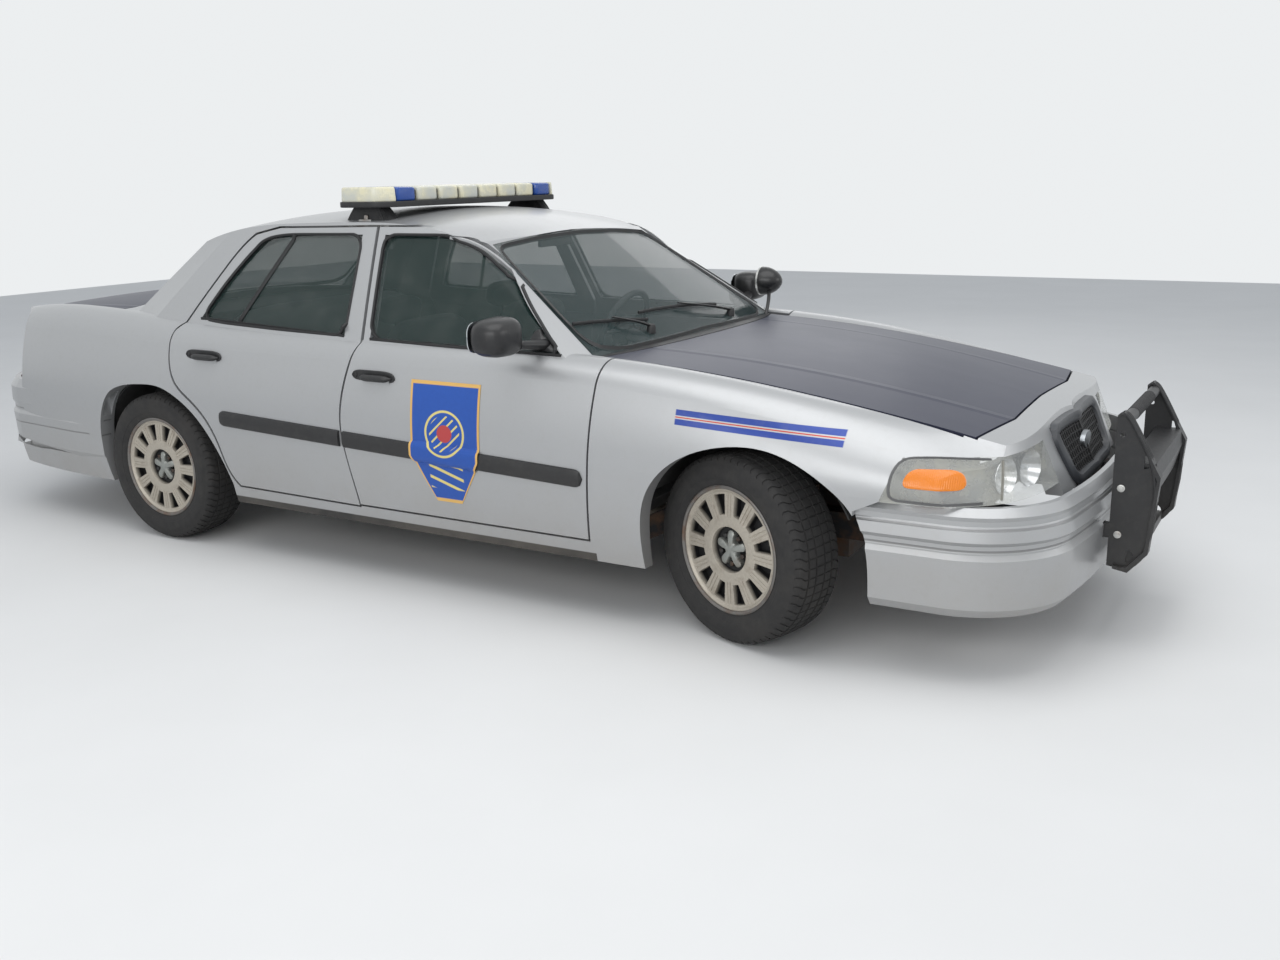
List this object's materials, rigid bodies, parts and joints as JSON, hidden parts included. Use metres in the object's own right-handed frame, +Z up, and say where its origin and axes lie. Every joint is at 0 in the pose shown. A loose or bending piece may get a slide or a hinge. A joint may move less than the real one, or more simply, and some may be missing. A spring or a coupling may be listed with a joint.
{
  "type": "police patrol car",
  "caption": "Four-door patrol saloon with opening doors, hood and trunk, steered wheels, roof light bar and push bumper",
  "frame": {"origin": "on the ground under the middle of the car's bounding box", "axes": "+X forward, +Y to the car's left, +Z up"},
  "size_m": [5.5394, 2.3, 1.566],
  "materials": {
    "silver_paint": "gloss",
    "navy_paint": "gloss",
    "black_plastic": "satin",
    "frame_black": "satin",
    "bar_black": "semi-gloss",
    "tinted_glass": "clear",
    "clear_lens": "clear",
    "blue_lens": "clear",
    "red_lens": "clear",
    "tyre_rubber": "matte",
    "wheel_metal": "satin",
    "bare_iron": "matte",
    "exhaust_steel": "dull",
    "floor_paint": "matte",
    "dark_fabric": "woven",
    "grey_fabric": "woven"
  },
  "bodies": {
    "car_body": {"body_shell": "silver_paint", "roof_panel": "silver_paint", "front_fenders": "silver_paint", "nose_panel": "silver_paint", "tail_panel": "silver_paint", "front_bumper": "silver_paint", "rear_bumper": "silver_paint", "grille": "black_plastic", "headlamps": "clear_lens", "tail_lamps": "red_lens", "windshield": "tinted_glass", "rear_window": "tinted_glass", "cowl": "black_plastic", "dashboard": "black_plastic", "front_seats": "dark_fabric", "rear_seat": "grey_fabric", "push_bumper": "bar_black", "light_bar_base": "black_plastic", "light_bar_clear_lenses": "clear_lens", "light_bar_blue_lenses": "blue_lens", "engine_block": "bare_iron", "rear_axle": "frame_black", "front_suspension": "frame_black", "exhaust": "exhaust_steel", "spotlight": "black_plastic", "inner_mirror": "black_plastic", "wheel_liners": "black_plastic", "steering_column": "black_plastic", "chassis_frame": "frame_black", "cross_members": "frame_black", "floor_pan": "floor_paint"},
    "hood": {"hood": "navy_paint"},
    "trunk_lid": {"trunk_lid": "navy_paint"},
    "steering_wheel": {"steering_wheel": "black_plastic"},
    "front_left_door": {"front_left_window_frame": "silver_paint", "front_left_door": "silver_paint", "front_left_glass": "tinted_glass", "front_left_trim": "black_plastic"},
    "front_left_wheel": {"front_left_tyre": "tyre_rubber", "front_left_wheel": "wheel_metal"},
    "front_right_door": {"front_right_window_frame": "silver_paint", "front_right_door": "silver_paint", "front_right_glass": "tinted_glass", "front_right_trim": "black_plastic"},
    "front_right_wheel": {"front_right_tyre": "tyre_rubber", "front_right_wheel": "wheel_metal"},
    "rear_left_door": {"rear_left_door": "silver_paint", "rear_left_glass": "tinted_glass", "rear_left_trim": "black_plastic"},
    "rear_left_wheel": {"rear_left_tyre": "tyre_rubber", "rear_left_wheel": "wheel_metal"},
    "rear_right_door": {"rear_right_door": "silver_paint", "rear_right_glass": "tinted_glass", "rear_right_trim": "black_plastic"},
    "rear_right_wheel": {"rear_right_tyre": "tyre_rubber", "rear_right_wheel": "wheel_metal"},
    "left_knuckle": {"left_knuckle": "bare_iron"},
    "right_knuckle": {"right_knuckle": "bare_iron"}
  },
  "joints": [
    {"name": "hood_hinge", "type": "hinge", "parent": "car_body", "child": "hood", "pos_m": [0.888, 0, 0.966], "axis": [0, -1, 0], "range_deg": [0, 50]},
    {"name": "trunk_hinge", "type": "hinge", "parent": "car_body", "child": "trunk_lid", "pos_m": [-1.803, 0, 1.058], "axis": [0, 1, 0], "range_deg": [0, 75]},
    {"name": "front_left_door_hinge", "type": "hinge", "parent": "car_body", "child": "front_left_door", "pos_m": [0.937, 0.988, 0.6], "axis": [0, 0, -1], "range_deg": [0, 65]},
    {"name": "front_right_door_hinge", "type": "hinge", "parent": "car_body", "child": "front_right_door", "pos_m": [0.937, -0.988, 0.6], "axis": [0, 0, 1], "range_deg": [0, 65]},
    {"name": "rear_left_door_hinge", "type": "hinge", "parent": "car_body", "child": "rear_left_door", "pos_m": [-0.216, 0.988, 0.6], "axis": [0, 0, -1], "range_deg": [0, 62]},
    {"name": "rear_right_door_hinge", "type": "hinge", "parent": "car_body", "child": "rear_right_door", "pos_m": [-0.216, -0.988, 0.6], "axis": [0, 0, 1], "range_deg": [0, 62]},
    {"name": "left_steer", "type": "hinge", "parent": "car_body", "child": "left_knuckle", "pos_m": [1.53, 0.74, 0.338], "axis": [0, 0, 1], "range_deg": [-16.2, 53.8]},
    {"name": "right_steer", "type": "hinge", "parent": "car_body", "child": "right_knuckle", "pos_m": [1.53, -0.74, 0.338], "axis": [0, 0, 1], "range_deg": [-16.2, 53.8]},
    {"name": "steering_wheel_turn", "type": "hinge", "parent": "car_body", "child": "steering_wheel", "pos_m": [0.31, 0.38, 0.89], "axis": [-0.9272, 0, 0.3746], "range_deg": [-243, 807]},
    {"name": "front_left_spin", "type": "hinge", "parent": "left_knuckle", "child": "front_left_wheel", "pos_m": [1.55095, 0.80153, 0.338], "axis": [0.3223, 0.9466, 0], "continuous": true},
    {"name": "front_right_spin", "type": "hinge", "parent": "right_knuckle", "child": "front_right_wheel", "pos_m": [1.50905, -0.80153, 0.338], "axis": [0.3223, 0.9466, 0], "continuous": true},
    {"name": "rear_left_spin", "type": "hinge", "parent": "car_body", "child": "rear_left_wheel", "pos_m": [-1.383, 0.833, 0.338], "axis": [0, 1, 0], "continuous": true},
    {"name": "rear_right_spin", "type": "hinge", "parent": "car_body", "child": "rear_right_wheel", "pos_m": [-1.383, -0.833, 0.338], "axis": [0, 1, 0], "continuous": true}
  ],
  "couplings": [
    {"joint": "right_steer", "follows": "left_steer", "ratio": 1},
    {"joint": "steering_wheel_turn", "follows": "left_steer", "ratio": 15}
  ]
}
